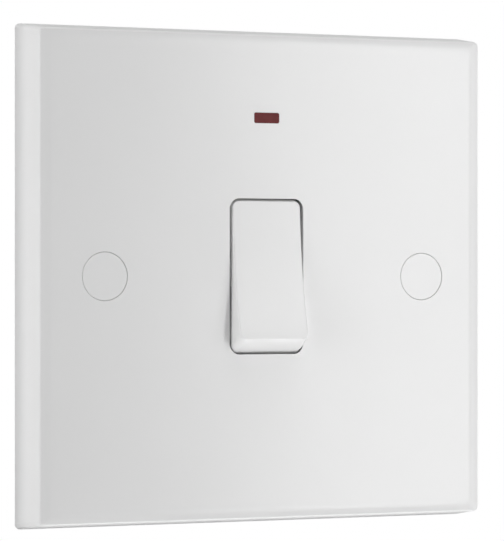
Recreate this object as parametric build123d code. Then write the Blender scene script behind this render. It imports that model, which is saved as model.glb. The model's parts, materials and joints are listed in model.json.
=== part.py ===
from build123d import *
from math import atan2, cos, degrees, radians, sin, sqrt, tan
import os

# Double pole rocker switch on a square wall plate, millimetres.
# X runs to the right, Z up and Y into the wall. The wall plane is y = 0,
# so the front face of the plate is at y = -plate_depth.

# Fits
fit = 0.03               # radial or side clearance of a piece pressed into its seat
running = 0.05           # radial clearance of a piece that turns or slides
seat = 0.02              # gap under a piece that rests on its seat
past = 1.0               # how far a cutter runs past the face it opens

# Front plate
plate_size = 86.0        # square outline at the wall
plate_depth = 9.0
plate_corner = 1.5       # plan radius of the four corners
side_draft = 1.15        # each side leans in this much from wall to crease
bevel_width = 1.6        # shallow bevel round the front face
bevel_drop = 0.38
crease_radius = 0.5      # edge between bevel and side
bevel_blend = 5.0        # blend between front face and bevel
side_wall = 2.0
face_wall = 2.6
rib_wall = 1.5
rib_height = 2.0
cheek_wall = 2.0         # bearing cheeks beside the rocker
cheek_reach = 17.0       # half length of a cheek

# Rocker
rocker_width = 13.44     # over the skirt
rocker_sweep = 14.12     # radius of the end faces about the pivot
rocker_gap = 0.45        # between the rocker's ends and the opening
rocker_side_gap = 0.31
rocker_lean = 4.0        # degrees that the sides lean in towards the face
lean_line = 3.4          # where they start to lean, in front of the pivot
lean_blend = 12.0
rocker_corner = 1.2
opening_corner = 1.8
pivot_depth = 5.6        # pivot axis behind the front face
rocker_tilt = 8.5        # either way from level
rocker_crown = 6.6       # middle of the hollow face, in front of the pivot
rocker_hollow = 85.0     # radius of the hollow face
rocker_edge = 0.28
rocker_face_wall = 1.6
rocker_wall = 1.3
skirt_line = 0.4         # rear edge of the rocker's skirt, in front of the pivot
ear_radius = 2.6
trunnion_radius = 1.5
trunnion_chamfer = 0.2

# Plungers and springs
pole_x = 3.4             # each pole from the middle
plunger_radius = 1.5
plunger_reach = 10.6     # pivot to the middle of the plunger's round tip
plunger_guide = 4.0      # length held in the tube
plunger_clear = 0.04     # tip to arm with the rocker level
plunger_stroke = 1.0     # free length between tube and arm, for compression
tube_wall = 0.7
spring_length = 8.0
spring_wire = 0.4        # wire diameter
spring_turns = 6.0
spring_sides = 6         # the wire is drawn as a prism
spring_play = 0.1        # between spring and tube
peg_radius = 0.75
peg_length = 1.5

# Contact arms and contacts
arm_width = 4.4
arm_thickness = 1.2
arm_tilt = 9.0           # either way from level
arm_upper = 12.4         # ends of the arm, from the fulcrum
arm_lower = 8.6
heel_thickness = 1.3
heel_gap = 0.1           # heel to strip with the switch off
fulcrum_radius = 0.65
contact_lever = 9.8      # fulcrum to moving contact
contact_dome = 5.0
contact_gap = 0.05       # between the closed contacts
moving_head = 0.8
moving_radius = 1.8
fixed_head = 0.9
fixed_radius = 1.9
rivet_shank = 1.0

# Terminals
terminal_x = 13.5
terminal_inset = 7.5     # middle of a terminal from the housing's top or bottom
terminal_width = 8.0
terminal_length = 8.0
terminal_depth = 9.5
terminal_edge = 0.3
tunnel_radius = 2.1
tunnel_inset = 3.1       # front of a block to the middle of its tunnel
strip_thickness = 1.2
strip_width = 5.0
earth_inset = 4.4        # middle of the earth terminal from the housing's bottom
earth_width = 7.0
earth_length = 6.0

# Screws
clamp_radius = 2.0       # terminal screws
clamp_head = 2.7
clamp_head_height = 1.9
clamp_lift = 0.1         # head above the block, tip above the tunnel
fixing_pitch = 60.3
fixing_radius = 1.75
fixing_length = 25.0
fixing_head = 3.3
fixing_head_height = 2.2
fixing_neck = 1.5        # radius of the plain neck under the head
neck_past = 0.6          # neck beyond the pillar, before the thread starts
fixing_hole = 2.0
fixing_slot = 1.5        # extra length of the levelling slot
joining_x = 15.7         # housing screws
joining_radius = 1.45
joining_length = 19.5
joining_head = 2.8
joining_head_height = 2.0
joining_recess = 2.4
joining_clear = 0.15     # radial, through the housing
boss_wall = 1.55
slot_share = 0.5         # driver slot depth as a share of the head
slot_width = 0.9
head_bevel = 0.2         # bevel of a screw head as a share of its height

# Screw caps
cap_radius = 4.13
cap_thickness = 1.2
cap_skirt = 0.8          # depth and wall of the skirt under the cap
cap_edge = 0.12
cap_clear = 0.05
pillar_wall = 1.8
pillar_floor = 3.5

# Housing
housing_width = 39.0
housing_height = 44.0
housing_corner = 2.0
housing_edge = 0.8
housing_rear_wall = 2.4
pocket_clear = 0.1       # round a terminal
chamber_clear = 0.35     # beside a contact arm
chamber_end = 0.6        # beyond the arm's ends
ear_clear = 0.53         # housing beside the rocker's ears
barrier_line = 5.2       # front edge of the wall between the poles
entry_flare = 0.5        # wire entry wider than the tunnel
access_clear = 0.3       # round a terminal screw's head
core_wall = 1.4          # walls left between cored pockets
funnel = 0.6             # bevel round each wire entry
panel_width = 18.0       # shallow panel sunk in the rear face
panel_low = -11.5
panel_high = 12.5
panel_depth = 0.5
panel_corner = 1.0
keeper_inset = 0.3       # bearing posts from the rocker's opening
fin_wall = 1.3           # fins that keep the wires apart behind the housing
fin_height = 2.2
fin_start = 12.6         # inner end of a fin, from the middle
fin_x = 6.7              # fins either side of the earth terminal
fin_edge = 0.4

# Neon pilot lamp
window_rise = 5.4        # middle of the window above the housing
window_width = 4.8
window_height = 1.85
window_corner = 0.3
lens_flange = 1.25       # flange beyond the window, each way
lens_flange_thickness = 1.0
lamp_radius = 2.0
lamp_length = 12.0
lamp_gap = 0.2           # lens to glass
lamp_tip = 1.2           # rounding of the glass ends
saddle_x = 4.0
saddle_wall = 1.2
saddle_margin = 1.6
lead_radius = 0.45
lead_sides = 8           # the lead is drawn as a prism
lead_bend = 1.2
lead_spread = 0.6        # each lead from the lamp's axis
lead_x = 11.5            # where the leads enter the housing
lead_drop = 1.2          # lead above the frame under the lamp
lead_landing = 2.7       # lead's end from the middle of its terminal
notch_clear = 0.35
resistor_radius = 1.2
resistor_length = 6.5
resistor_x = 13.0
resistor_waist = 1.02    # radius between the end caps
resistor_edge = 0.3
resistor_turn = 1.8      # straight lead beyond the resistor

# Places that follow from the sizes above
front_y = -plate_depth
inner_y = front_y + face_wall
pivot_y = front_y + pivot_depth
half_rocker = rocker_width / 2
half_opening = half_rocker + rocker_side_gap
bearing_radius = trunnion_radius + running
trunnion_end = half_opening + cheek_wall - rocker_side_gap / 2

tip_y = pivot_y + plunger_reach
arm_face_y = tip_y + plunger_radius + plunger_clear
fulcrum_y = arm_face_y + arm_thickness
lever_rise = contact_lever * sin(radians(arm_tilt))
dome_back = contact_dome - moving_head
contact_y = fulcrum_y + lever_rise - dome_back * cos(radians(arm_tilt)) + contact_dome
contact_z = contact_lever * cos(radians(arm_tilt)) + dome_back * sin(radians(arm_tilt))
strip_y = contact_y + contact_gap + fixed_head
strip_rear = strip_y + strip_thickness
floor_y = strip_rear + seat
housing_rear = floor_y + housing_rear_wall

terminal_z = housing_height / 2 - terminal_inset
earth_z = housing_height / 2 - earth_inset
block_front = strip_rear - terminal_depth
tunnel_y = block_front + tunnel_inset
arm_inner = pole_x - arm_width / 2
arm_outer = pole_x + arm_width / 2
chamber_half_z = arm_upper + chamber_end
strip_end = terminal_x - terminal_width / 2 + strip_thickness

cap_seat_y = front_y + cap_thickness + cap_skirt
head_seat_y = cap_seat_y + seat + fixing_head_height
pillar_rear = head_seat_y + pillar_floor
bore_radius = cap_radius + cap_clear
tube_bore = plunger_radius + running
tube_radius = tube_bore + tube_wall
tube_mouth = plunger_reach - plunger_radius - plunger_stroke
plunger_front = tube_mouth - plunger_guide
bore_end = spring_length - plunger_front
joining_seat = housing_rear - joining_recess
joining_tip = joining_seat - joining_length
window_z = housing_height / 2 + window_rise
lens_rear = inner_y + lens_flange_thickness
lamp_y = lens_rear + lamp_gap + lamp_radius
lead_run_z = housing_height / 2 + lead_drop
lead_end_z = terminal_z + lead_landing

poles = (("line", -1), ("neutral", 1))


def block(x0, x1, y0, y1, z0, z1):
    lo = [min(pair) for pair in ((x0, x1), (y0, y1), (z0, z1))]
    hi = [max(pair) for pair in ((x0, x1), (y0, y1), (z0, z1))]
    middle = [(a + b) / 2 for a, b in zip(lo, hi)]
    return Pos(*middle) * Box(*[b - a for a, b in zip(lo, hi)])


def rod_x(radius, x0, x1, y, z):
    return Pos((x0 + x1) / 2, y, z) * Rot(0, 90, 0) * Cylinder(radius, abs(x1 - x0))


def rod_y(radius, x, y0, y1, z):
    return Pos(x, (y0 + y1) / 2, z) * Rot(90, 0, 0) * Cylinder(radius, abs(y1 - y0))


def rod_z(radius, x, y, z0, z1):
    return Pos(x, y, (z0 + z1) / 2) * Cylinder(radius, abs(z1 - z0))


def slab(outline, y0, y1):
    """Extrudes an outline drawn in X and Z from y0 to y1."""
    return extrude(Plane.XZ.offset(-y1) * outline, y1 - y0)


def drum(radius, width, corner):
    """A cylinder along X at the origin with rounded rims."""
    body = rod_x(radius, -width / 2, width / 2, 0, 0)
    return fillet(body.edges().filter_by(GeomType.CIRCLE), corner)


def at_pivot(shape):
    """Places a shape drawn about the pivot, rocker level, into the off position."""
    return Pos(0, pivot_y, 0) * Rot(-rocker_tilt, 0, 0) * shape


def at_fulcrum(shape):
    """Places a shape drawn about the fulcrum, arm level, into the off position."""
    return Pos(0, fulcrum_y, 0) * Rot(arm_tilt, 0, 0) * shape


def driver_slot(x, z, top_y, depth, radius):
    """Cutter for the slot in a screw head whose top is at top_y; depth runs to the tip."""
    half = slot_width / 2
    return block(x - radius - past, x + radius + past, top_y, top_y + depth, z - half, z + half)


def plate_section(size, corner, y):
    return Plane.XZ.offset(-y) * RectangleRounded(size, size, corner)


def plate_shell():
    crease = plate_size - 2 * side_draft
    face = crease - 2 * bevel_width
    face_corner = plate_corner * 2 / 3
    shell = loft(
        [
            plate_section(plate_size, plate_corner, 0),
            plate_section(crease, plate_corner, front_y + bevel_drop),
            plate_section(face, face_corner, front_y),
        ],
        ruled=True,
    )
    shell = fillet(shell.edges().group_by(Axis.Y)[0], bevel_blend)
    crease_y = front_y + bevel_drop
    ring = shell.edges().filter_by_position(Axis.Y, crease_y - fit / 2, crease_y + fit / 2)
    shell = fillet(ring, crease_radius)
    lean = degrees(atan2(side_draft, plate_depth - bevel_drop))
    hollow = plate_size - 2 * side_wall
    inside = Plane.XZ * RectangleRounded(hollow, hollow, plate_corner / 2)
    return shell - extrude(inside, -inner_y, taper=lean)


def plate_ribs():
    """Frame that carries the housing, and low stiffening ribs in line with it."""
    outline = RectangleRounded(housing_width, housing_height, housing_corner)
    width = housing_width - 2 * rib_wall
    height = housing_height - 2 * rib_wall
    ribs = slab(outline - RectangleRounded(width, height, housing_corner / 2), inner_y, 0)
    reach = plate_size / 2 - side_wall
    rib_top = inner_y + rib_height
    for side in (-1, 1):
        x = side * housing_width / 2
        z = side * housing_height / 2
        ribs += block(x, x - side * rib_wall, inner_y, rib_top, -reach, reach)
        ribs += block(-reach, reach, inner_y, rib_top, z, z - side * rib_wall)
    return ribs


def lamp_saddles():
    half = lamp_radius + saddle_margin
    grip = lamp_radius + running
    saddles = []
    for side in (-1, 1):
        x = side * saddle_x
        outer = x + side * saddle_wall
        rib = block(x, outer, inner_y, lamp_y + saddle_margin, window_z - half, window_z + half)
        rib -= rod_x(grip, x, outer, lamp_y, window_z)
        rib -= block(x, outer, lamp_y, 0, window_z - grip, window_z + grip)
        saddles.append(rib)
    return saddles


def front_plate():
    plate = plate_shell() + plate_ribs()
    plate += lamp_saddles()
    for side in (-1, 1):
        cheek = side * half_opening
        plate += block(cheek, cheek + side * cheek_wall, inner_y, 0, -cheek_reach, cheek_reach)
        plate += rod_y(joining_radius + boss_wall, side * joining_x, inner_y, 0, 0)
        plate += rod_y(bore_radius + pillar_wall, side * fixing_pitch / 2, inner_y, pillar_rear, 0)
    opening = drum(rocker_sweep + rocker_gap, 2 * half_opening, opening_corner)
    plate -= Pos(0, pivot_y, 0) * opening
    outer = half_opening + cheek_wall + past
    plate -= rod_x(bearing_radius, -outer, outer, pivot_y, 0)
    plate -= block(-outer, outer, pivot_y, past, -bearing_radius, bearing_radius)
    for side in (-1, 1):
        x = side * fixing_pitch / 2
        plate -= rod_y(bore_radius, x, front_y - past, head_seat_y, 0)
        plate -= rod_y(joining_radius + fit, side * joining_x, joining_tip - fit, past, 0)
        notch = lead_radius + notch_clear
        notch_x = side * lead_x
        low = housing_height / 2 - 2 * rib_wall
        high = housing_height / 2 + past
        plate -= block(notch_x - notch, notch_x + notch, lamp_y - notch, past, low, high)
    plate -= rod_y(fixing_hole, -fixing_pitch / 2, head_seat_y - past, pillar_rear + past, 0)
    levelling = SlotCenterToCenter(fixing_slot, 2 * fixing_hole, rotation=90)
    plate -= slab(Pos(fixing_pitch / 2, 0) * levelling, head_seat_y - past, pillar_rear + past)
    window = Pos(0, window_z) * RectangleRounded(window_width, window_height, window_corner)
    return plate - slab(window, front_y - past, inner_y + past)


def rocker_blank():
    """Ends and sides of the rocker before its face is cut."""
    reach = rocker_sweep
    half_front = half_rocker - (reach - lean_line) * tan(radians(rocker_lean))
    right = [(half_rocker, reach), (half_rocker, -lean_line), (half_front, -reach)]
    left = [(-x, y) for x, y in reversed(right)]
    outline = make_face(Polyline(*right, *left, close=True))
    bends = [corner for corner in outline.vertices() if abs(corner.Y + lean_line) < 0.001]
    outline = fillet(bends, lean_blend)
    blank = extrude(outline, reach, both=True) & rod_x(rocker_sweep, -rocker_width, rocker_width, 0, 0)
    rims = [edge for edge in blank.edges() if on_sweep(edge)]
    return fillet(rims, rocker_corner)


def on_sweep(edge):
    """True for an edge along the rim of the rocker's swept ends."""
    points = [edge.position_at(share) for share in (0, 0.3, 0.7, 1)]
    return all(abs(sqrt(p.Y**2 + p.Z**2) - rocker_sweep) < 0.001 for p in points)


def rocker():
    def face_drum(extra):
        radius = rocker_hollow + extra
        return rod_x(radius, -rocker_width, rocker_width, -(rocker_crown + rocker_hollow), 0)

    far = 2 * rocker_sweep
    behind = block(-rocker_width, rocker_width, -skirt_line, far, -far, far)
    body = rocker_blank() - face_drum(0)
    crown_edges = [edge for edge in body.edges() if edge.center().Y < -skirt_line and on_crown(edge)]
    body = fillet(crown_edges, rocker_edge) - behind
    half_cavity = half_rocker - rocker_wall
    cavity = rod_x(rocker_sweep - rocker_wall, -half_cavity, half_cavity, 0, 0)
    body -= cavity - face_drum(rocker_face_wall)
    for side in (-1, 1):
        ear = Circle(ear_radius) + Pos(-ear_radius, 0) * Rectangle(2 * ear_radius, 2 * ear_radius)
        body += extrude(Plane.YZ.offset(side * half_cavity) * ear, side * rocker_wall)
        trunnion = rod_x(trunnion_radius, side * half_rocker, side * trunnion_end, 0, 0)
        tip = trunnion.edges().sort_by(Axis.X)[-1 if side > 0 else 0]
        body += chamfer(tip, trunnion_chamfer)
        tube_front = rocker_face_wall / 2 - rocker_crown
        body += rod_y(tube_radius, side * pole_x, tube_front, tube_mouth, 0)
    for side in (-1, 1):
        body -= rod_y(tube_bore, side * pole_x, -bore_end, tube_mouth + past, 0)
    return at_pivot(body)


def on_crown(edge):
    """True for an edge that lies on the rocker's hollow face."""
    axis_y = -(rocker_crown + rocker_hollow)
    points = [edge.position_at(share) for share in (0, 0.3, 0.7, 1)]
    return all(abs(sqrt((p.Y - axis_y) ** 2 + p.Z**2) - rocker_hollow) < 0.001 for p in points)


def plunger(side):
    body = rod_y(plunger_radius, 0, plunger_front, plunger_reach, 0)
    body += Pos(0, plunger_reach, 0) * Sphere(plunger_radius)
    body += rod_y(peg_radius, 0, plunger_front - peg_length, plunger_front, 0)
    return at_pivot(Pos(side * pole_x, 0, 0) * body)


def spring(side):
    coil_radius = tube_bore - spring_play - spring_wire / 2
    height = spring_length - spring_wire - 2 * seat
    start = -bore_end + spring_wire / 2 + seat
    path = Helix(height / spring_turns, height, coil_radius, (0, start, 0), (0, 1, 0))
    section = Plane(path @ 0, z_dir=path % 0) * RegularPolygon(spring_wire / 2, spring_sides)
    return at_pivot(Pos(side * pole_x, 0, 0) * sweep(section, path))


def contact_arm(side):
    inner = side * arm_inner
    heel_y = strip_y - fulcrum_y - heel_gap - arm_lower * sin(radians(arm_tilt))
    body = block(inner, side * arm_outer, -arm_thickness, 0, -arm_lower, arm_upper)
    body += block(inner, side * arm_outer, -arm_thickness, heel_y, -arm_lower, heel_thickness - arm_lower)
    body -= rod_x(fulcrum_radius + running, side * (arm_inner - past), side * (arm_outer + past), 0, 0)
    body -= rod_y(rivet_shank + fit, side * pole_x, -arm_thickness - past, past, contact_lever)
    return at_fulcrum(body)


def rivet(head_radius, head, shank_length):
    """Contact rivet on the Y axis, its dome's top at the origin, facing +Y."""
    dome = Pos(0, -contact_dome, 0) * Sphere(contact_dome)
    body = rod_y(head_radius, 0, -head, 0, 0) & dome
    return body + rod_y(rivet_shank, 0, -head - shank_length, -head, 0)


def moving_contact(side):
    body = Pos(side * pole_x, moving_head, contact_lever) * rivet(moving_radius, moving_head, arm_thickness)
    return at_fulcrum(body)


def fixed_contact(side):
    body = rivet(fixed_radius, fixed_head, strip_thickness)
    return Pos(side * pole_x, strip_y - fixed_head, contact_z) * Rot(180, 0, 0) * body


def terminal_block(x, z, width, length):
    body = block(x - width / 2, x + width / 2, block_front, strip_rear, z - length / 2, z + length / 2)
    body = chamfer(body.edges(), terminal_edge)
    body -= rod_z(tunnel_radius, x, tunnel_y, z - length, z + length)
    return body - rod_y(clamp_radius + fit, x, tunnel_y, strip_rear + past, z)


def contact_strip(side, end):
    """Flat strip from a pole to its terminal, with a tab along the terminal."""
    low = end * (contact_z - strip_width / 2)
    high = end * (contact_z + strip_width / 2)
    strip = block(side * arm_inner, side * strip_end, strip_y, strip_rear, low, high)
    tab = side * (terminal_x - terminal_width / 2)
    return strip + block(tab, side * strip_end, strip_y, strip_rear, low, end * terminal_z)


def load_terminal(side):
    strip = contact_strip(side, 1)
    strip -= rod_y(rivet_shank + fit, side * pole_x, strip_y - past, strip_rear + past, contact_z)
    return strip + terminal_block(side * terminal_x, terminal_z, terminal_width, terminal_length)


def supply_terminal(side):
    strip = contact_strip(side, -1)
    strip += block(side * arm_inner, side * arm_outer, strip_y, strip_rear, -contact_z, fulcrum_radius)
    strip += block(side * arm_inner, side * arm_outer, fulcrum_y, strip_y, -fulcrum_radius, fulcrum_radius)
    strip += rod_x(fulcrum_radius, side * arm_inner, side * arm_outer, fulcrum_y, 0)
    return strip + terminal_block(side * terminal_x, -terminal_z, terminal_width, terminal_length)


def earth_terminal():
    return terminal_block(0, -earth_z, earth_width, earth_length)


def screw(x, z, seat_y, radius, length, head_radius, head_height, way):
    """Slotted screw along Y; way is 1 when the tip points to +Y."""
    top = seat_y - way * head_height
    body = rod_y(head_radius, x, seat_y, top, z)
    rim = body.edges().filter_by(GeomType.CIRCLE).sort_by(Axis.Y)[0 if way > 0 else -1]
    body = chamfer(rim, head_bevel * head_height)
    body += rod_y(radius, x, seat_y, seat_y + way * length, z)
    return body - driver_slot(x, z, top, way * head_height * slot_share, head_radius)


def clamp_screw(x, z):
    head_y = strip_rear + clamp_lift
    length = head_y - (tunnel_y + tunnel_radius + clamp_lift)
    return screw(x, z, head_y, clamp_radius, length, clamp_head, clamp_head_height, -1)


def fixing_screw(side):
    x = side * fixing_pitch / 2
    body = screw(x, 0, head_seat_y, fixing_neck, fixing_length, fixing_head, fixing_head_height, 1)
    return body + rod_y(fixing_radius, x, pillar_rear + neck_past, head_seat_y + fixing_length, 0)


def housing_screw(side):
    x = side * joining_x
    return screw(x, 0, joining_seat, joining_radius, joining_length, joining_head, joining_head_height, -1)


def switch_housing():
    body = slab(RectangleRounded(housing_width, housing_height, housing_corner), 0, housing_rear)
    body = chamfer(body.edges().group_by(Axis.Y)[-1], housing_edge)
    half_cavity = half_rocker + ear_clear
    body -= block(-half_cavity, half_cavity, -past, barrier_line, -chamber_half_z, chamber_half_z)
    chamber_inner = arm_inner - chamber_clear
    chamber_outer = arm_outer + chamber_clear
    pocket = pocket_clear + terminal_width / 2
    pocket_z = pocket_clear + terminal_length / 2
    pocket_inner = terminal_x - pocket
    strip_half = strip_width / 2 + pocket_clear
    core_inner = pocket_inner + core_wall
    core_outer = housing_width / 2 - core_wall
    core_low = joining_head + access_clear + core_wall
    core_high = terminal_z - pocket_z - core_wall
    for side in (-1, 1):
        inner = side * chamber_inner
        outer = side * chamber_outer
        body -= block(inner, outer, -past, floor_y, -chamber_half_z, chamber_half_z)
        body -= rod_y(joining_radius + joining_clear, side * joining_x, -past, housing_rear, 0)
        body -= rod_y(joining_head + access_clear, side * joining_x, joining_seat, housing_rear + past, 0)
        for end in (-1, 1):
            x = side * terminal_x
            z = end * terminal_z
            body -= block(x - pocket, x + pocket, -past, floor_y, z - pocket_z, z + pocket_z)
            low = end * (contact_z - strip_half)
            high = end * (contact_z + strip_half)
            slot_end = side * (strip_end + pocket_clear)
            body -= block(outer, slot_end, -past, floor_y, low, high)
            body -= block(side * pocket_inner, slot_end, -past, floor_y, low, z)
            body -= wire_entry(x, end, terminal_z)
            body -= rod_y(clamp_head + access_clear, x, floor_y - past, housing_rear + past, z)
            low = end * core_low
            high = end * core_high
            body -= block(side * core_inner, side * core_outer, -past, floor_y, low, high)
    earth_half = earth_width / 2 + pocket_clear
    earth_end = earth_length / 2 + pocket_clear
    body -= block(-earth_half, earth_half, -past, floor_y, -earth_z - earth_end, earth_end - earth_z)
    body -= wire_entry(0, -1, earth_z)
    body -= rod_y(clamp_head + access_clear, 0, floor_y - past, housing_rear + past, -earth_z)
    top_low = chamber_half_z + core_wall
    top_high = housing_height / 2 - core_wall
    top_half = pocket_inner - core_wall
    body -= block(-top_half, top_half, -past, floor_y, top_low, top_high)
    return body - rear_panel() + rear_fins() + bearing_keepers()


def bearing_keepers():
    """Posts that close the bearing slots behind the trunnions."""
    half = bearing_radius - running
    face = pivot_y + bearing_radius
    inner = half_opening + keeper_inset
    outer = half_opening + cheek_wall
    return [block(side * inner, side * outer, face, past, -half, half) for side in (-1, 1)]


def wire_entry(x, end, start_z):
    radius = tunnel_radius + entry_flare
    mouth = housing_height / 2
    hole = rod_z(radius, x, tunnel_y, start_z, mouth + past)
    flare = Pos(x, tunnel_y, mouth - funnel / 2) * Cone(radius, radius + funnel, funnel)
    entry = hole + flare
    return entry if end > 0 else mirror(entry, Plane.XY)


def rear_panel():
    outline = RectangleRounded(panel_width, panel_high - panel_low, panel_corner)
    middle = (panel_low + panel_high) / 2
    return slab(Pos(0, middle) * outline, housing_rear - panel_depth, housing_rear + past)


def rear_fins():
    """One fin between the load wires and one each side of the earth wire."""
    fins = []
    for x, end in ((0, 1), (-fin_x, -1), (fin_x, -1)):
        left = x - fin_wall / 2
        inner = end * fin_start
        outer = end * (housing_height / 2 - housing_edge)
        fin = block(left, left + fin_wall, housing_rear, housing_rear + fin_height, inner, outer)
        fins.append(chamfer(fin.edges().group_by(Axis.Y)[-1], fin_edge))
    return fins


def screw_cap(side):
    x = side * fixing_pitch / 2
    body = rod_y(cap_radius, x, front_y, cap_seat_y, 0)
    rim = body.edges().filter_by(GeomType.CIRCLE).sort_by(Axis.Y)[0]
    body = chamfer(rim, cap_edge)
    return body - rod_y(cap_radius - cap_skirt, x, front_y + cap_thickness, cap_seat_y + past, 0)


def neon_lens():
    width = window_width - 2 * fit
    height = window_height - 2 * fit
    plug = slab(Pos(0, window_z) * RectangleRounded(width, height, window_corner), front_y, lens_rear)
    flange = Rectangle(window_width + 2 * lens_flange, window_height + 2 * lens_flange)
    return plug + slab(Pos(0, window_z) * flange, inner_y + seat, lens_rear)


def neon_lamp():
    body = rod_x(lamp_radius, -lamp_length / 2, lamp_length / 2, lamp_y, window_z)
    ends = body.edges().filter_by(GeomType.CIRCLE).sort_by(Axis.X)
    body = fillet(ends[0], lamp_tip)
    return chamfer(body.edges().filter_by(GeomType.CIRCLE).sort_by(Axis.X)[-1], lamp_tip / 2)


def wire(points):
    path = FilletPolyline(*points, radius=lead_bend)
    section = Plane(path @ 0, z_dir=path % 0) * RegularPolygon(lead_radius, lead_sides)
    return sweep(section, path)


def lead_tail(side):
    """Last points of a lead: down past the frame, then back on to a load terminal."""
    x = side * lead_x
    return [(x, lamp_y, lead_run_z), (x, lamp_y, lead_end_z), (x, block_front - seat, lead_end_z)]


def neon_line_lead():
    x = lamp_length / 2 + seat
    z = window_z - lead_spread
    turn = x + 2 * lead_bend
    start = [(x, lamp_y, z), (turn, lamp_y, z), (turn, lamp_y, lead_run_z)]
    return wire(start + lead_tail(-1))


def neon_neutral_lead():
    z = window_z + lead_spread
    near = resistor_x - resistor_length / 2 - seat
    far = resistor_x + resistor_length / 2 + seat
    link = rod_x(lead_radius, lamp_length / 2 + seat, near, lamp_y, z)
    turn = far + resistor_turn
    start = [(far, lamp_y, z), (turn, lamp_y, z), (turn, lamp_y, lead_run_z)]
    return Compound(children=[link, wire(start + lead_tail(1))])


def neon_resistor():
    half = resistor_length / 2
    z = window_z + lead_spread
    body = rod_x(resistor_waist, resistor_x - half, resistor_x + half, lamp_y, z)
    for side in (-1, 1):
        end = rod_x(resistor_radius, resistor_x + side * half, resistor_x + side * half / 2, lamp_y, z)
        body += chamfer(end.edges().filter_by(GeomType.CIRCLE), resistor_edge)
    return body


def group(pieces):
    return Compound(children=list(pieces))


os.makedirs("parts", exist_ok=True)

nodes = {
    "front_plate": front_plate(),
    "rocker": rocker(),
    "screw_cap_left": screw_cap(-1),
    "screw_cap_right": screw_cap(1),
    "switch_housing": switch_housing(),
    "neon_lens": neon_lens(),
    "neon_lamp": neon_lamp(),
    "neon_resistor": neon_resistor(),
    "neon_line_lead": neon_line_lead(),
    "neon_neutral_lead": neon_neutral_lead(),
    "earth_terminal": earth_terminal(),
    "earth_screw": clamp_screw(0, -earth_z),
    "fixing_screws": group(
        fixing_screw(side) for side in (-1, 1)
    ),
    "housing_screws": group(
        housing_screw(side) for side in (-1, 1)
    ),
    "terminal_screws": group(
        clamp_screw(side * terminal_x, end * terminal_z) for side in (-1, 1) for end in (-1, 1)
    ),
}
for pole, side in poles:
    nodes[pole + "_supply_terminal"] = supply_terminal(side)
    nodes[pole + "_load_terminal"] = load_terminal(side)
    nodes[pole + "_fixed_contact"] = fixed_contact(side)
    nodes[pole + "_contact_arm"] = contact_arm(side)
    nodes[pole + "_moving_contact"] = moving_contact(side)
    nodes[pole + "_plunger"] = plunger(side)
    nodes[pole + "_spring"] = spring(side)

for name, shape in nodes.items():
    export_step(shape, "parts/" + name + ".step")
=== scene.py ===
import bmesh
import bpy
import json
from math import copysign, pi, radians
from mathutils import Matrix, Vector


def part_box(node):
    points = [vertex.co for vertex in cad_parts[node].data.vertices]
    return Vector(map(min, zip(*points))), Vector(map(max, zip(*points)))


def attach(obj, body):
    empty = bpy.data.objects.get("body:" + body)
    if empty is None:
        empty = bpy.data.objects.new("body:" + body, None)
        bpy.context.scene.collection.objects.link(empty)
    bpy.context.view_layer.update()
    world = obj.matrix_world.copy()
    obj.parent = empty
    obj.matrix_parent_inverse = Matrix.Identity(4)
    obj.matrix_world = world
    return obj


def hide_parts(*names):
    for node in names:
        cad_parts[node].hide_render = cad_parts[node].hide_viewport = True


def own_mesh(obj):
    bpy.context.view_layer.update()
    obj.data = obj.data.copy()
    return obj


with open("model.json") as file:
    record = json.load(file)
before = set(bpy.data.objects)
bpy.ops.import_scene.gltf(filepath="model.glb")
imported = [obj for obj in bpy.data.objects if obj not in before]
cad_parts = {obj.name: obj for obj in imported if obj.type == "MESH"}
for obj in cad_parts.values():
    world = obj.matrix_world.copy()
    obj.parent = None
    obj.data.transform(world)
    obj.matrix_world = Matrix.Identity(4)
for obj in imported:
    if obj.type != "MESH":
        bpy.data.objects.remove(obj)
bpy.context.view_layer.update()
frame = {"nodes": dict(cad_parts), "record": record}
cad = frame["nodes"]
mm = 0.001
weldWithin = 1e-6
print("frame loaded:", len(cad), "nodes")


# mesh helpers

def addObject(name, mesh, body, material):
    piece = bpy.data.objects.new(name, mesh)
    bpy.context.scene.collection.objects.link(piece)
    piece.data.materials.append(material)
    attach(piece, body)
    return piece


def plainMesh(bm, name):
    mesh = bpy.data.meshes.new(name)
    bm.to_mesh(mesh)
    bm.free()
    return mesh


def meshFrom(bm, name, smoothAngle=30):
    bm.normal_update()
    for face in bm.faces:
        face.smooth = True
    for edge in bm.edges:
        edge.smooth = edge.is_manifold and edge.calc_face_angle() < radians(smoothAngle)
    mesh = plainMesh(bm, name)
    if mesh.has_custom_normals:  # left over from the solids' triangles
        mesh.attributes.remove(mesh.attributes["custom_normal"])
    return mesh


def weldedNode(node):
    bm = bmesh.new()
    bm.from_mesh(cad[node].data)
    bmesh.ops.remove_doubles(bm, verts=bm.verts, dist=weldWithin)
    return bm


def cutAndClose(bm, height, way):  # drops what lies beyond a plane across Y
    everything = bm.verts[:] + bm.edges[:] + bm.faces[:]
    bmesh.ops.bisect_plane(bm, geom=everything, plane_co=(0, height, 0), plane_no=(0, way, 0),
                           clear_outer=True)
    bmesh.ops.holes_fill(bm, edges=[edge for edge in bm.edges if edge.is_boundary])


def profileLine(bm, points):
    line = [bm.verts.new(point) for point in points]
    return line + [bm.edges.new(pair) for pair in zip(line, line[1:])]


# node helpers

noiseSpan = (0.3, 0.7)  # where most of a noise lies


def startMaterial(name):
    material = bpy.data.materials.new(name)
    material.use_nodes = True
    tree = material.node_tree
    tree.nodes.clear()
    output = tree.nodes.new("ShaderNodeOutputMaterial")
    shader = tree.nodes.new("ShaderNodeBsdfPrincipled")
    tree.links.new(shader.outputs["BSDF"], output.inputs["Surface"])
    return material, tree, shader


def objectCoords(tree):
    return tree.nodes.new("ShaderNodeTexCoord").outputs["Object"]


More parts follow.
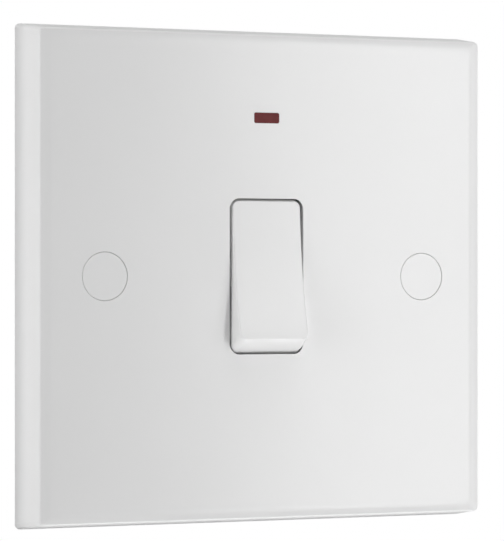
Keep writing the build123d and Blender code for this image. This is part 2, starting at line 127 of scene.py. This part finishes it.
def noise(tree, vector, scale, detail=3.0):
    node = tree.nodes.new("ShaderNodeTexNoise")
    node.inputs["Scale"].default_value = scale
    node.inputs["Detail"].default_value = detail
    tree.links.new(vector, node.inputs["Vector"])
    return node.outputs["Fac"]


def remap(tree, value, source, target, interpolation="LINEAR"):
    node = tree.nodes.new("ShaderNodeMapRange")
    node.interpolation_type = interpolation
    ends = ("From Min", "From Max", "To Min", "To Max")
    for end, number in zip(ends, (*source, *target)):
        node.inputs[end].default_value = number
    tree.links.new(value, node.inputs["Value"])
    return node.outputs["Result"]


def spread(tree, value, low, high):
    return remap(tree, value, noiseSpan, (low, high))


def maths(tree, operation, first, second):
    node = tree.nodes.new("ShaderNodeMath")
    node.operation = operation
    tree.links.new(first, node.inputs[0])
    tree.links.new(second, node.inputs[1])
    return node.outputs["Value"]


def vectorMaths(tree, operation, *vectors):
    node = tree.nodes.new("ShaderNodeVectorMath")
    node.operation = operation
    for place, vector in enumerate(vectors):
        tree.links.new(vector, node.inputs[place])
    return node


def axes(tree, vector):
    node = tree.nodes.new("ShaderNodeSeparateXYZ")
    tree.links.new(vector, node.inputs["Vector"])
    return node.outputs


def mixColours(tree, factor, first, second):
    node = tree.nodes.new("ShaderNodeMix")
    node.data_type = "RGBA"
    node.inputs["A"].default_value = (*first, 1)
    node.inputs["B"].default_value = (*second, 1)
    tree.links.new(factor, node.inputs["Factor"])
    return node.outputs["Result"]


def bump(tree, shader, height, strength, distance):
    node = tree.nodes.new("ShaderNodeBump")
    node.inputs["Strength"].default_value = strength
    node.inputs["Distance"].default_value = distance
    tree.links.new(height, node.inputs["Height"])
    tree.links.new(node.outputs["Normal"], shader.inputs["Normal"])


# shared effects

def startGroup(name, entries, results):
    group = bpy.data.node_groups.new(name, "ShaderNodeTree")
    for socket, kind in entries.items():
        group.interface.new_socket(socket, in_out="INPUT", socket_type=kind)
    for socket in results:
        group.interface.new_socket(socket, in_out="OUTPUT", socket_type="NodeSocketFloat")
    return group, group.nodes.new("NodeGroupInput"), group.nodes.new("NodeGroupOutput")


def mouldedGrainGroup():  # slow tone drift of a moulding and its fine spark grain
    details = {"Drift": 2.0, "Grain": 4.0}
    entries = {name + " Scale": "NodeSocketFloat" for name in details}
    group, entry, leave = startGroup("mouldedGrain", entries, details)
    coords = objectCoords(group)
    for name, detail in details.items():
        value = noise(group, coords, 1.0, detail)
        group.links.new(entry.outputs[name + " Scale"], value.node.inputs["Scale"])
        group.links.new(value, leave.inputs[name])
    return group


def metalStreakGroup():  # tool marks along one axis and blotches of handling
    streakDetail, blotchScale = 5.0, 350.0
    entries = {"Stretch": "NodeSocketVector"}
    group, entry, leave = startGroup("metalStreak", entries, ("Streak", "Blotch"))
    coords = objectCoords(group)
    stretched = vectorMaths(group, "MULTIPLY", coords, entry.outputs["Stretch"]).outputs["Vector"]
    group.links.new(noise(group, stretched, 1.0, streakDetail), leave.inputs["Streak"])
    group.links.new(noise(group, coords, blotchScale), leave.inputs["Blotch"])
    return group


mouldedGrain = mouldedGrainGroup()
metalStreak = metalStreakGroup()


def placeGroup(tree, group, values):
    node = tree.nodes.new("ShaderNodeGroup")
    node.node_tree = group
    for name, value in values.items():
        node.inputs[name].default_value = value
    return node.outputs


# moulded finishes

mouldedTexture = {
    "scales": {"Drift Scale": 38.0, "Grain Scale": 5200.0},
    "bump": 0.35,
    "ior": 1.55,
}
outerWall = {"start": 0.0414, "end": 0.0420, "extra": 0.40}
mouldings = {
    "whiteMoulding": {
        "light": (0.83, 0.83, 0.83), "dark": (0.815, 0.815, 0.815),
        "gloss": (0.20, 0.26), "depth": 4e-6, "wall": outerWall,
    },
    "rockerMoulding": {
        "light": (0.83, 0.83, 0.83), "dark": (0.815, 0.815, 0.815),
        "gloss": (0.20, 0.24), "depth": 3e-6,
    },
    "caseMoulding": {
        "light": (0.70, 0.70, 0.68), "dark": (0.64, 0.64, 0.62),
        "gloss": (0.42, 0.55), "depth": 1.5e-5,
    },
    "acetalMoulding": {
        "light": (0.66, 0.64, 0.57), "dark": (0.60, 0.58, 0.52),
        "gloss": (0.40, 0.50), "depth": 8e-6,
    },
    "leadSleeve": {
        "light": (0.78, 0.76, 0.70), "dark": (0.70, 0.68, 0.62),
        "gloss": (0.45, 0.60), "depth": 1e-5,
    },
}


def dullWalls(tree, rough, start, end, extra):  # outer walls leave the mould duller than the front
    away = vectorMaths(tree, "ABSOLUTE", objectCoords(tree)).outputs["Vector"]
    parts = axes(tree, away)
    farther = maths(tree, "MAXIMUM", parts["X"], parts["Z"])
    mask = remap(tree, farther, (start, end), (0.0, extra), "SMOOTHSTEP")
    return maths(tree, "ADD", rough, mask)


def moulding(name, light, dark, gloss, depth, wall=None):
    material, tree, shader = startMaterial(name)
    texture = placeGroup(tree, mouldedGrain, mouldedTexture["scales"])
    drift = spread(tree, texture["Drift"], 0.0, 1.0)
    tree.links.new(mixColours(tree, drift, light, dark), shader.inputs["Base Color"])
    rough = spread(tree, texture["Grain"], *gloss)
    if wall:
        rough = dullWalls(tree, rough, **wall)
    tree.links.new(rough, shader.inputs["Roughness"])
    shader.inputs["IOR"].default_value = mouldedTexture["ior"]
    bump(tree, shader, texture["Grain"], mouldedTexture["bump"], depth)
    return material


# metal finishes

metalBump = 0.4
metals = {
    "turnedBrass": {
        "light": (0.80, 0.60, 0.26), "dark": (0.62, 0.44, 0.18),
        "stretch": (900, 9000, 900), "gloss": (0.18, 0.36), "depth": 6e-6,
    },
    "copperStrip": {
        "light": (0.80, 0.43, 0.27), "dark": (0.62, 0.32, 0.20),
        "stretch": (9000, 900, 700), "gloss": (0.20, 0.40), "depth": 6e-6,
    },
    "silverTip": {
        "light": (0.82, 0.80, 0.76), "dark": (0.66, 0.64, 0.60),
        "stretch": (5000, 5000, 5000), "gloss": (0.18, 0.34), "depth": 4e-6,
    },
    "zincPlate": {
        "light": (0.66, 0.66, 0.65), "dark": (0.52, 0.51, 0.47),
        "stretch": (1500, 7000, 1500), "gloss": (0.30, 0.48), "depth": 6e-6,
    },
    "springWire": {
        "light": (0.52, 0.52, 0.53), "dark": (0.40, 0.40, 0.41),
        "stretch": (3000, 3000, 3000), "gloss": (0.25, 0.40), "depth": 4e-6,
    },
}


def metal(name, light, dark, stretch, gloss, depth):
    material, tree, shader = startMaterial(name)
    marks = placeGroup(tree, metalStreak, {"Stretch": stretch})
    stain = spread(tree, marks["Blotch"], 0.0, 1.0)
    tree.links.new(mixColours(tree, stain, light, dark), shader.inputs["Base Color"])
    tree.links.new(spread(tree, marks["Streak"], *gloss), shader.inputs["Roughness"])
    shader.inputs["Metallic"].default_value = 1.0
    bump(tree, shader, marks["Streak"], metalBump, depth)
    return material


# lens, glass and lacquer

lens = {
    "light": (0.135, 0.014, 0.014),
    "dark": (0.105, 0.012, 0.012),
    "flowScale": 900.0,
    "gloss": (0.42, 0.55),
    "ior": 1.5,
    "specular": 0.22,
}


def lensRed():  # dark red lens, dull from its moulded prisms
    material, tree, shader = startMaterial("lensRed")
    flow = noise(tree, objectCoords(tree), lens["flowScale"])
    tone = mixColours(tree, spread(tree, flow, 0.0, 1.0), lens["light"], lens["dark"])
    tree.links.new(tone, shader.inputs["Base Color"])
    tree.links.new(spread(tree, flow, *lens["gloss"]), shader.inputs["Roughness"])
    shader.inputs["IOR"].default_value = lens["ior"]
    shader.inputs["Specular IOR Level"].default_value = lens["specular"]
    return material


glass = {
    "colour": (0.97, 0.95, 0.92, 1),
    "ior": 1.45,
    "rippleScale": 600.0,
    "rippleDetail": 2.0,
    "gloss": (0.01, 0.05),
    "bump": 0.15,
    "depth": 2e-5,
}


def lampGlass():
    material, tree, shader = startMaterial("lampGlass")
    shader.inputs["Base Color"].default_value = glass["colour"]
    shader.inputs["Transmission Weight"].default_value = 1.0
    shader.inputs["IOR"].default_value = glass["ior"]
    ripple = noise(tree, objectCoords(tree), glass["rippleScale"], glass["rippleDetail"])
    tree.links.new(spread(tree, ripple, *glass["gloss"]), shader.inputs["Roughness"])
    bump(tree, shader, ripple, glass["bump"], glass["depth"])
    return material


lacquer = {
    "body": (0.56, 0.42, 0.25, 1),
    "bands": {
        0.14: (0.20, 0.07, 0.03, 1),
        0.34: (0.02, 0.02, 0.02, 1),
        0.50: (0.62, 0.42, 0.02, 1),
        0.82: (0.55, 0.38, 0.10, 1),
    },
    "bandWidth": 0.075,
    "grainScale": 2500.0,
    "gloss": (0.25, 0.40),
    "bump": 0.3,
    "depth": 1e-5,
}


def resistorLacquer():
    material, tree, shader = startMaterial("resistorLacquer")
    coords = objectCoords(tree)
    lo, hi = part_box("neon_resistor")
    along = remap(tree, axes(tree, coords)["X"], (lo.x, hi.x), (0.0, 1.0))
    ramp = tree.nodes.new("ShaderNodeValToRGB")
    ramp.color_ramp.interpolation = "CONSTANT"
    tree.links.new(along, ramp.inputs["Fac"])
    stops = ramp.color_ramp.elements
    stops[0].color = lacquer["body"]
    stops.remove(stops[1])
    for start, colour in lacquer["bands"].items():
        stops.new(start).color = colour
        stops.new(start + lacquer["bandWidth"]).color = lacquer["body"]
    tree.links.new(ramp.outputs["Color"], shader.inputs["Base Color"])
    grain = noise(tree, coords, lacquer["grainScale"])
    tree.links.new(spread(tree, grain, *lacquer["gloss"]), shader.inputs["Roughness"])
    bump(tree, shader, grain, lacquer["bump"], lacquer["depth"])
    return material


made = {name: moulding(name, **values) for name, values in mouldings.items()}
made.update({name: metal(name, **values) for name, values in metals.items()})
finishes = {
    "white_moulding": made["whiteMoulding"],
    "rear_moulding": made["caseMoulding"],
    "red_lens": lensRed(),
    "brass": made["turnedBrass"],
    "copper": made["copperStrip"],
    "silver_contact": made["silverTip"],
    "plated_steel": made["zincPlate"],
    "spring_steel": made["springWire"],
    "plunger_moulding": made["acetalMoulding"],
    "lamp_glass": lampGlass(),
    "resistor_body": resistorLacquer(),
    "lead_sleeve": made["leadSleeve"],
}
slotOf = {part["node"]: part["material_slot"] for part in frame["record"]["subparts"]}
finishOf = {node: finishes[slotName] for node, slotName in slotOf.items()}
finishOf["rocker"] = made["rockerMoulding"]  # polished more than the plate
for name, node in cad.items():
    node.data.materials.clear()
    node.data.materials.append(finishOf[name])
print("finishes:", len(finishes))


# moulded pieces, with their fillets shaded as one surface

bodyOf = {
    node: body
    for body, nodes in frame["record"]["behaviour"]["bodies"].items()
    for node in nodes
}
softened = {
    "nodes": ("front_plate", "rocker", "screw_cap_left", "screw_cap_right", "switch_housing",
              "neon_lens"),
    "sharpFrom": 40,
    "flatWithin": 0.4,
}
plateCorner = {
    "drawn": 1.5 * mm,
    "seen": 0.95 * mm,
    "centre": 41.5 * mm,
    "draft": 0.1333,
    "near": 1e-5,
}


def tightenCorners(bm):  # the photo shows crisper plan corners than the solid has
    drawn, near = plateCorner["drawn"], plateCorner["near"]
    reach = drawn - plateCorner["seen"]
    for vert in bm.verts:
        centre = plateCorner["centre"] + plateCorner["draft"] * vert.co.y
        away = Vector((abs(vert.co.x) - centre, abs(vert.co.z) - centre))
        if min(away) < -near or away.length < near:
            continue
        share = min(1.0, away.length / drawn)
        away.normalize()
        vert.co.x += copysign(reach * (1 - away.x) * share, vert.co.x)
        vert.co.z += copysign(reach * (1 - away.y) * share, vert.co.z)


def soften(node):
    bm = weldedNode(node)
    if node == "front_plate":
        tightenCorners(bm)
    bmesh.ops.dissolve_limit(bm, angle_limit=radians(softened["flatWithin"]), verts=bm.verts,
                             edges=bm.edges)
    mesh = meshFrom(bm, node + "_finished", softened["sharpFrom"])
    piece = addObject(node + "_finished", mesh, bodyOf[node], finishOf[node])
    even = piece.modifiers.new("evenNormals", "WEIGHTED_NORMAL")
    even.keep_sharp = True
    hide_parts(node)


for node in softened["nodes"]:
    soften(node)
print("softened:", len(softened["nodes"]))


# rolled thread on the fixing screws, which the solids leave plain

fixingScrew = {
    "pitch": 0.6 * mm,
    "crest": 1.75 * mm,
    "root": 1.42 * mm,
    "flank": ((0.0, "root"), (0.14, "root"), (0.46, "crest"), (0.68, "crest"), (1.0, "root")),
    "neckEnd": -0.68 * mm,
    "neckOverlap": 0.02 * mm,
    "tip": 20.22 * mm,
    "leadIn": 0.55 * mm,
    "leadSlope": 0.9,
    "offset": 30.15 * mm,
    "stepsPerTurn": 24,
    "spareTurns": 3,
    "weld": 2e-6,
    "sharpFrom": 32,
}


def rolledThread():
    values = fixingScrew
    pitch, neckEnd, tip = values["pitch"], values["neckEnd"], values["tip"]
    turns = int((tip - neckEnd) / pitch) + values["spareTurns"]
    low = neckEnd - pitch
    bm = bmesh.new()
    points = [(values[radius], low + share * pitch, 0) for share, radius in values["flank"]]
    bmesh.ops.spin(bm, geom=profileLine(bm, points), axis=(0, 1, 0), cent=(0, 0, 0),
                   dvec=(0, pitch / values["stepsPerTurn"], 0), angle=2 * pi * turns,
                   steps=turns * values["stepsPerTurn"])
    bmesh.ops.remove_doubles(bm, verts=bm.verts, dist=values["weld"])
    cutAndClose(bm, neckEnd, -1)
    cutAndClose(bm, tip, 1)
    taperFrom = tip - values["leadIn"]
    for vert in bm.verts:  # lead-in at the tip
        radius = Vector((vert.co.x, vert.co.z)).length
        limit = values["crest"] - max(0.0, vert.co.y - taperFrom) * values["leadSlope"]
        if radius > limit:
            vert.co.x *= limit / radius
            vert.co.z *= limit / radius
    bmesh.ops.recalc_face_normals(bm, faces=bm.faces)
    return plainMesh(bm, "rolledThread")


def threadFixingScrews():
    bm = weldedNode("fixing_screws")
    cutAndClose(bm, fixingScrew["neckEnd"] - fixingScrew["neckOverlap"], 1)
    thread = rolledThread()
    for side in (-1, 1):
        heads = set(bm.verts)
        bm.from_mesh(thread)
        shank = [vert for vert in bm.verts if vert not in heads]
        bmesh.ops.translate(bm, verts=shank, vec=(side * fixingScrew["offset"], 0, 0))
    mesh = meshFrom(bm, "fixing_screws_threaded", fixingScrew["sharpFrom"])
    piece = addObject("fixing_screws_threaded", mesh, "frame",
                      finishes["plated_steel"])
    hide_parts("fixing_screws")


threadFixingScrews()
print("fixing screws threaded")


# blown glass of the pilot lamp and its two electrodes

pilotLamp = {
    "y": -3.2 * mm,
    "z": 27.4 * mm,
    "outline": ((-6.0, 0.0), (-5.94, 0.55), (-5.7, 1.1), (-5.2, 1.62), (-4.6, 1.92), (-4.0, 2.0),
                (5.0, 2.0), (5.35, 1.9), (5.7, 1.5), (5.95, 0.9), (6.0, 0.0)),
    "steps": 48,
    "wall": 0.3 * mm,
    "glassSharpFrom": 60,
    "rodRadius": 0.36 * mm,
    "rodFrom": -3.4 * mm,
    "rodTo": 5.6 * mm,
    "rodSpread": 0.62 * mm,
    "rodSides": 20,
    "rodEdge": 0.1 * mm,
    "rodSharpFrom": 50,
}


def blowLampGlass():
    bm = bmesh.new()
    points = [(x * mm, 0, radius * mm) for x, radius in pilotLamp["outline"]]
    bmesh.ops.spin(bm, geom=profileLine(bm, points), axis=(1, 0, 0), cent=(0, 0, 0),
                   angle=2 * pi, steps=pilotLamp["steps"], use_merge=True)
    bmesh.ops.remove_doubles(bm, verts=bm.verts, dist=weldWithin)
    bmesh.ops.recalc_face_normals(bm, faces=bm.faces)
    bmesh.ops.solidify(bm, geom=bm.faces[:], thickness=pilotLamp["wall"])
    bmesh.ops.translate(bm, verts=bm.verts, vec=(0, pilotLamp["y"], pilotLamp["z"]))
    mesh = meshFrom(bm, "neon_lamp_glass", pilotLamp["glassSharpFrom"])
    piece = addObject("neon_lamp_glass", mesh, "frame", finishes["lamp_glass"])
    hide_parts("neon_lamp")


def lampElectrodes():
    bm = bmesh.new()
    radius = pilotLamp["rodRadius"]
    length = pilotLamp["rodTo"] - pilotLamp["rodFrom"]
    middle = (pilotLamp["rodTo"] + pilotLamp["rodFrom"]) / 2
    lying = Matrix.Rotation(pi / 2, 4, "Y")
    for side in (-1, 1):
        height = pilotLamp["z"] + side * pilotLamp["rodSpread"]
        place = Matrix.Translation((middle, pilotLamp["y"], height))
        bmesh.ops.create_cone(bm, cap_ends=True, segments=pilotLamp["rodSides"], radius1=radius,
                              radius2=radius, depth=length, matrix=place @ lying)
    ends = [edge for edge in bm.edges if any(len(face.verts) > 4 for face in edge.link_faces)]
    bmesh.ops.bevel(bm, geom=ends, offset=pilotLamp["rodEdge"], affect="EDGES", segments=3,
                    profile=0.5, material=-1)
    mesh = meshFrom(bm, "neon_lamp_electrodes", pilotLamp["rodSharpFrom"])
    addObject("neon_lamp_electrodes", mesh, "frame", finishes["plated_steel"])


blowLampGlass()
lampElectrodes()
print("pilot lamp blown")


# coil springs, smooth-shaded and carried with their bodies

coilSpring = {
    "fixedEnd": (-7.257 * mm, 0.576 * mm),
    "way": (0, -0.989016, 0.147809),
    "length": 7.9,
    "stroke": 1.0,
    "sharpFrom": 75,
}


def shortenSpring(pole):
    node = pole + "_spring"
    mesh = meshFrom(weldedNode(node), node + "_wound", coilSpring["sharpFrom"])
    piece = addObject(node + "_wound", mesh, bodyOf[node],
                      finishes["spring_steel"])
    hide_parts(node)
    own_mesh(piece)


shortenSpring("line")
shortenSpring("neutral")
print("springs wound")


# raised terminal marks on the rear of the housing

rearMarks = {
    "letters": (("L", -13.5, 7.4), ("L", -13.5, -7.4), ("N", 13.5, 7.4), ("N", 13.5, -7.4)),
    "fontSize": 4.2 * mm,
    "letterWeld": 1e-7,
    "stand": 0.22 * mm,
    "rear": 16.895 * mm,
    "earthAt": (0.0, -13.1),
    "earthBars": ((0.0, 0.75, 0.28, 0.9), (0.0, 0.15, 2.4, 0.28), (0.0, -0.4, 1.5, 0.28),
                  (0.0, -0.95, 0.7, 0.28)),
    "barEdge": 0.04 * mm,
}


def letterMesh(letter):
    curve = bpy.data.curves.new("terminalMark", "FONT")
    curve.body = letter
    curve.size = rearMarks["fontSize"]
    curve.align_x = "CENTER"
    curve.align_y = "CENTER"
    curve.extrude = rearMarks["stand"]
    holder = bpy.data.objects.new("terminalMark", curve)
    mesh = bpy.data.meshes.new_from_object(holder)
    bpy.data.objects.remove(holder)
    return mesh


def markTerminals():
    bm = bmesh.new()
    turn = Matrix(((-1, 0, 0), (0, 0, 1), (0, 1, 0))).to_4x4()  # reads from behind
    for letter, x, z in rearMarks["letters"]:
        mesh = letterMesh(letter)
        mesh.transform(Matrix.Translation((x * mm, rearMarks["rear"], z * mm)) @ turn)
        bm.from_mesh(mesh)
    bmesh.ops.remove_doubles(bm, verts=bm.verts, dist=rearMarks["letterWeld"])
    earthX, earthZ = rearMarks["earthAt"]
    for x, z, width, height in rearMarks["earthBars"]:
        place = Matrix.Translation(((earthX + x) * mm, rearMarks["rear"], (earthZ + z) * mm))
        size = Matrix.Diagonal((width * mm, 2 * rearMarks["stand"], height * mm, 1))
        bar = bmesh.ops.create_cube(bm, size=1, matrix=place @ size)
        edges = list({edge for vert in bar["verts"] for edge in vert.link_edges})
        bmesh.ops.bevel(bm, geom=edges, offset=rearMarks["barEdge"], affect="EDGES", segments=2,
                        profile=0.5, material=-1)
    mesh = meshFrom(bm, "terminal_marks")
    addObject("terminal_marks", mesh, "frame", finishes["rear_moulding"])


# ejector marks behind the plate

ejectorMarks = {
    "places": ((-33, 33), (33, 33), (-33, -33), (33, -33), (-33, 15), (33, 15), (-33, -15),
               (33, -15), (-12, -33), (12, -33)),
    "radius": 2.0 * mm,
    "sides": 48,
    "face": -6.4 * mm,
    "stand": 0.10 * mm,
    "rim": 0.25 * mm,
    "dish": 0.05 * mm,
}


def pressEjectorMarks():
    bm = bmesh.new()
    facing = Matrix.Rotation(-pi / 2, 4, "X")
    for x, z in ejectorMarks["places"]:
        place = Matrix.Translation((x * mm, ejectorMarks["face"], z * mm))
        disc = bmesh.ops.create_circle(bm, cap_ends=True, segments=ejectorMarks["sides"],
                                       radius=ejectorMarks["radius"], matrix=place @ facing)
        top = disc["verts"][0].link_faces[0]
        wall = bmesh.ops.extrude_face_region(bm, geom=[top])["geom"]
        raised = [part for part in wall if isinstance(part, bmesh.types.BMVert)]
        bmesh.ops.translate(bm, verts=raised, vec=(0, ejectorMarks["stand"], 0))
        crown = [part for part in wall if isinstance(part, bmesh.types.BMFace)]
        bmesh.ops.inset_region(bm, faces=crown, thickness=ejectorMarks["rim"],
                               depth=-ejectorMarks["dish"])
    bmesh.ops.recalc_face_normals(bm, faces=bm.faces)
    mesh = meshFrom(bm, "ejector_marks")
    addObject("ejector_marks", mesh, "frame", finishes["white_moulding"])


markTerminals()
pressEjectorMarks()
print("moulded marks pressed")


# floor, cards and white surroundings

studio = {
    "floorHeight": -0.75,
    "floorSize": 6.0,
    "floorColour": (0.86, 0.86, 0.86, 1),
    "floorRough": 0.7,
    "shadowKept": 0.25,
    "clearFrom": 0.30,
    "clearTo": 0.90,
    "ambient": 0.0,
}
greyCard = {"colour": (0.35, 0.35, 0.35, 1), "fibreScale": 400.0, "gloss": (0.85, 1.0)}
cards = {  # shade the rear of the left and bottom walls, as the surface it lies against would
    "leftCard": {"low": (-0.060, 0.0003, -0.070), "high": (-0.0433, 0.0003, 0.070)},
    "lowCard": {"low": (-0.070, -0.0050, -0.060), "high": (0.070, 0.020, -0.060)},
}


def seenByEye(tree):  # camera, glossy and transmission rays
    light = tree.nodes.new("ShaderNodeLightPath").outputs
    direct = maths(tree, "MAXIMUM", light["Is Camera Ray"], light["Is Glossy Ray"])
    return maths(tree, "MAXIMUM", direct, light["Is Transmission Ray"])


def mixShaders(tree, factor, first, second):
    node = tree.nodes.new("ShaderNodeMixShader")
    tree.links.new(factor, node.inputs["Fac"])
    tree.links.new(first, node.inputs[1])
    tree.links.new(second, node.inputs[2])
    return node.outputs["Shader"]


def whiteFloor():
    material, tree, shader = startMaterial("paleFloor")
    shader.inputs["Base Color"].default_value = studio["floorColour"]
    shader.inputs["Roughness"].default_value = studio["floorRough"]
    distance = vectorMaths(tree, "LENGTH", objectCoords(tree)).outputs["Value"]
    fade = remap(tree, distance, (studio["clearFrom"], studio["clearTo"]),
                 (1 - studio["shadowKept"], 1.0))
    share = maths(tree, "MULTIPLY", seenByEye(tree), fade)
    white = tree.nodes.new("ShaderNodeEmission").outputs["Emission"]
    surface = mixShaders(tree, share, shader.outputs["BSDF"], white)
    tree.links.new(surface, tree.nodes["Material Output"].inputs["Surface"])
    return material


def cardPaper():
    material, tree, shader = startMaterial("greyCard")
    fibres = noise(tree, objectCoords(tree), greyCard["fibreScale"])
    shader.inputs["Base Color"].default_value = greyCard["colour"]
    tree.links.new(spread(tree, fibres, *greyCard["gloss"]), shader.inputs["Roughness"])
    return material


def stageObject(bm, name, material):
    piece = bpy.data.objects.new(name, plainMesh(bm, name))
    bpy.context.scene.collection.objects.link(piece)
    piece.data.materials.append(material)
    return piece


def layFloor():
    bm = bmesh.new()
    bmesh.ops.create_grid(bm, x_segments=1, y_segments=1, size=studio["floorSize"] / 2)
    bmesh.ops.translate(bm, verts=bm.verts, vec=(0, 0, studio["floorHeight"]))
    floor = stageObject(bm, "floor", whiteFloor())


def standCards():
    paper = cardPaper()
    for name, span in cards.items():
        low, high = span["low"], span["high"]
        bm = bmesh.new()
        corners = (low, (high[0], *low[1:]), high, (low[0], *high[1:]))
        bm.faces.new([bm.verts.new(corner) for corner in corners])
        card = stageObject(bm, name, paper)
        card.visible_camera = False


def backdrop(tree, strength):
    node = tree.nodes.new("ShaderNodeBackground")
    node.inputs["Color"].default_value = (1, 1, 1, 1)
    node.inputs["Strength"].default_value = strength
    return node.outputs["Background"]


def whiteWorld():
    world = bpy.data.worlds.new("studioWorld")
    world.use_nodes = True
    bpy.context.scene.world = world
    tree = world.node_tree
    tree.nodes.clear()
    output = tree.nodes.new("ShaderNodeOutputWorld")
    dim, white = backdrop(tree, studio["ambient"]), backdrop(tree, 1.0)
    surface = mixShaders(tree, seenByEye(tree), dim, white)
    tree.links.new(surface, output.inputs["Surface"])


# lights and camera

softboxes = {
    "stripRight": {"place": (0.296, -0.521, 0.021), "size": (0.12, 0.6), "watts": 1.22},
    "keyRight": {"place": (0.284, -0.222, 0.0), "size": (0.1, 0.45), "watts": 0.37},
    "edgeLeft": {"place": (-0.717, -0.35, 0.056), "size": (0.05, 0.7), "watts": 0.8},
    "sideLeft": {"place": (-0.798, -0.042, 0.042), "size": (0.45, 0.6), "watts": 4.4},
    "overhead": {"place": (0.1, -0.25, 0.8), "size": (0.6, 0.6), "watts": 3.0},
    "lowFill": {"place": (0.15, -0.03, -0.6), "size": (0.4, 0.3), "watts": 2.6},
    "rearLeft": {"place": (-0.6, 0.55, 0.02), "size": (0.3, 0.3), "watts": 1.5},
    "rearRight": {"place": (0.6, 0.55, 0.02), "size": (0.3, 0.3), "watts": 2.3},
}


def hangLights():
    for name, box in softboxes.items():
        lamp = bpy.data.lights.new(name, "AREA")
        lamp.shape = "RECTANGLE"
        lamp.size, lamp.size_y = box["size"]
        lamp.energy = box["watts"]
        holder = bpy.data.objects.new(name, lamp)
        bpy.context.scene.collection.objects.link(holder)
        holder.location = box["place"]
        facing = Vector() - Vector(box["place"])  # each one faces the origin
        holder.rotation_euler = facing.to_track_quat("-Z", "Y").to_euler()
        holder.visible_camera = False


viewpoint = {
    "place": (-0.22652, -0.49529, -0.0004),
    "yaw": 24.704,
    "lens": 206.44,
    "sensor": 36.0,
    "rise": 0.0152,
    "nearest": 0.01,
}


def setCamera():
    optics = bpy.data.cameras.new("photoView")
    optics.lens = viewpoint["lens"]
    optics.sensor_width = viewpoint["sensor"]
    optics.shift_y = viewpoint["rise"]
    optics.clip_start = viewpoint["nearest"]
    camera = bpy.data.objects.new("photoView", optics)
    bpy.context.scene.collection.objects.link(camera)
    camera.location = viewpoint["place"]
    camera.rotation_euler = (radians(90), 0, -radians(viewpoint["yaw"]))
    bpy.context.scene.camera = camera


layFloor()
standCards()
whiteWorld()
hangLights()
setCamera()
bpy.context.scene.view_settings.view_transform = "Standard"
print("studio ready")
